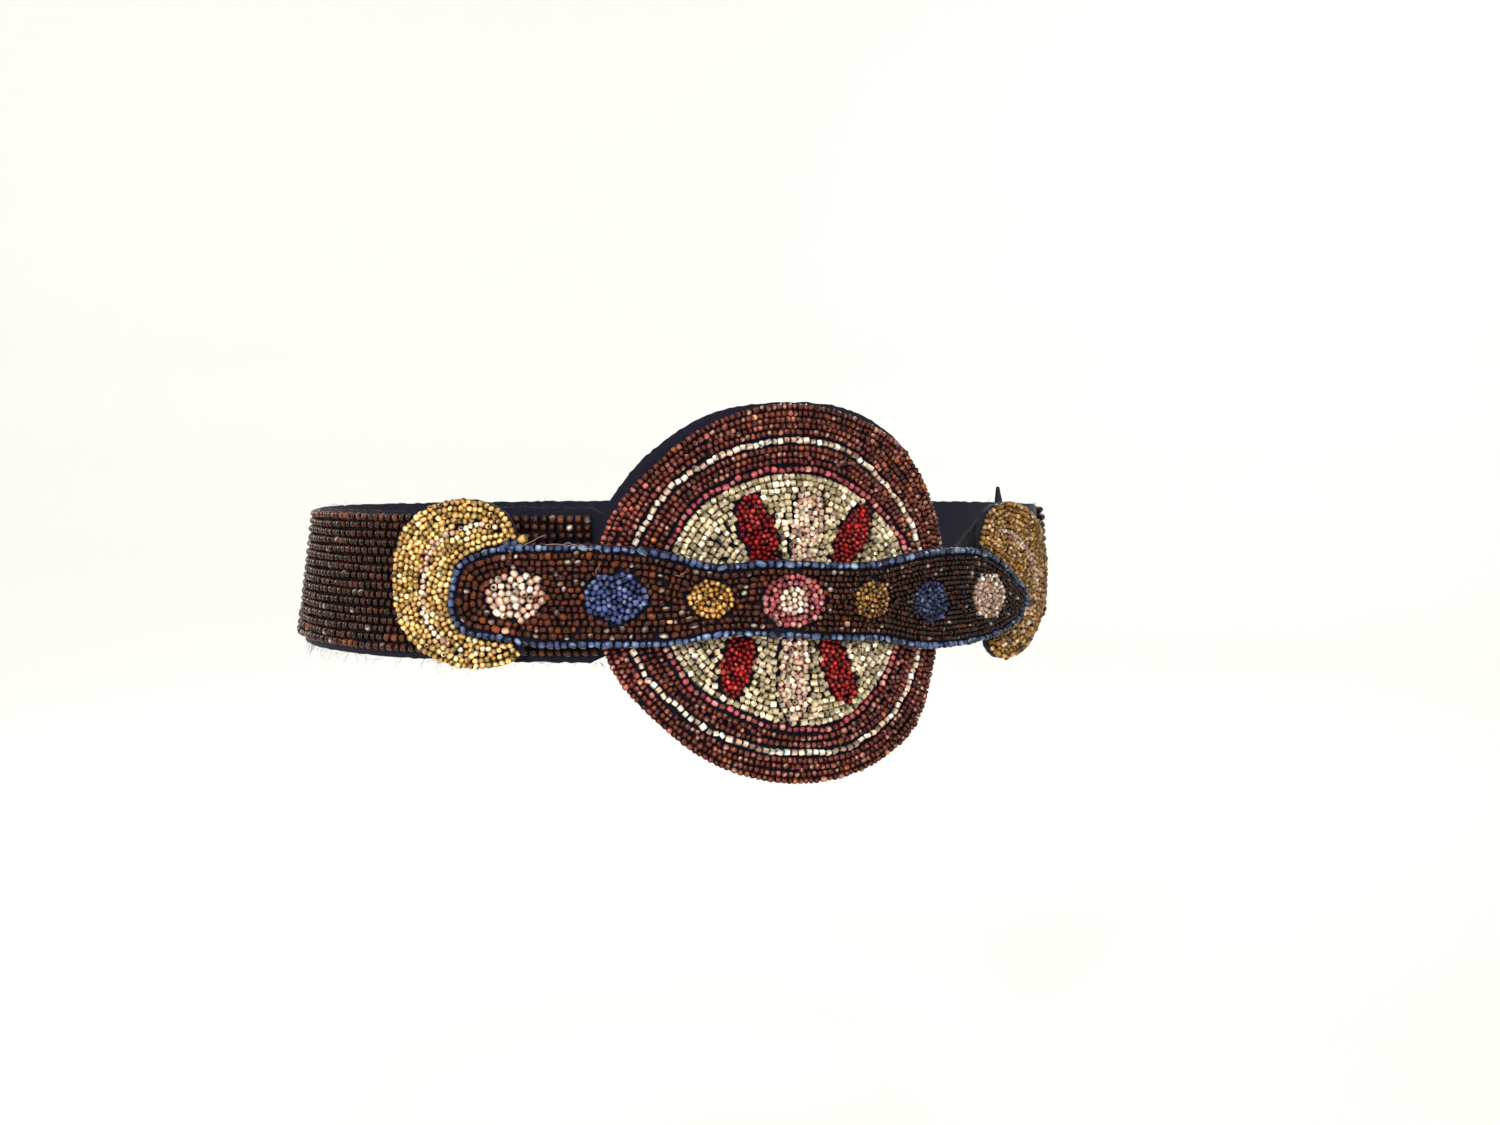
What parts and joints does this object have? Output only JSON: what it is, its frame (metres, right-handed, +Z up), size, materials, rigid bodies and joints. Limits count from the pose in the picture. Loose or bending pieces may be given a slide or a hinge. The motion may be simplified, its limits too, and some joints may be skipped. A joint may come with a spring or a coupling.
{
  "type": "beaded belt",
  "caption": "Waist belt of bead rows on dark cloth, with a round beaded medallion and a strap with a crescent at each end across it.",
  "frame": {"origin": "middle of the waist that the belt goes round, at half the height of the band", "axes": "-Y out of the front of the belt, through the medallion; +X to the viewer's right; +Z up"},
  "size_m": [0.2425, 0.191, 0.1009],
  "materials": {
    "navy_cloth": "matte woven",
    "brown_beads": "gloss",
    "plum_beads": "gloss lustre",
    "white_beads": "gloss",
    "rose_beads": "gloss",
    "sage_beads": "gloss",
    "pale_pink_beads": "gloss",
    "red_beads": "gloss",
    "blue_beads": "gloss",
    "gold_beads": "gloss",
    "hook_metal": "satin"
  },
  "bodies": {
    "root": {"band_cloth": "navy_cloth", "medallion_cloth": "navy_cloth", "strap_cloth": "navy_cloth", "crescent_left_cloth": "navy_cloth", "crescent_right_cloth": "navy_cloth", "band_beads": "brown_beads", "strap_beads": "brown_beads", "border_outer": "plum_beads", "border_inner": "plum_beads", "white_ring": "white_beads", "rose_centre": "white_beads", "pink_ring": "rose_beads", "rose_ring": "rose_beads", "field": "sage_beads", "petal_upper": "pale_pink_beads", "petal_lower": "pale_pink_beads", "pink_left": "pale_pink_beads", "pink_right": "pale_pink_beads", "crescent_left_stripe": "pale_pink_beads", "crescent_right_stripe": "pale_pink_beads", "leaf_upper_left": "red_beads", "leaf_upper_right": "red_beads", "leaf_lower_left": "red_beads", "leaf_lower_right": "red_beads", "strap_edging": "blue_beads", "blue_left": "blue_beads", "blue_right": "blue_beads", "gold_left": "gold_beads", "gold_right": "gold_beads", "crescent_left_beads": "gold_beads", "crescent_right_beads": "gold_beads", "hook": "hook_metal"}
  },
  "joints": []
}
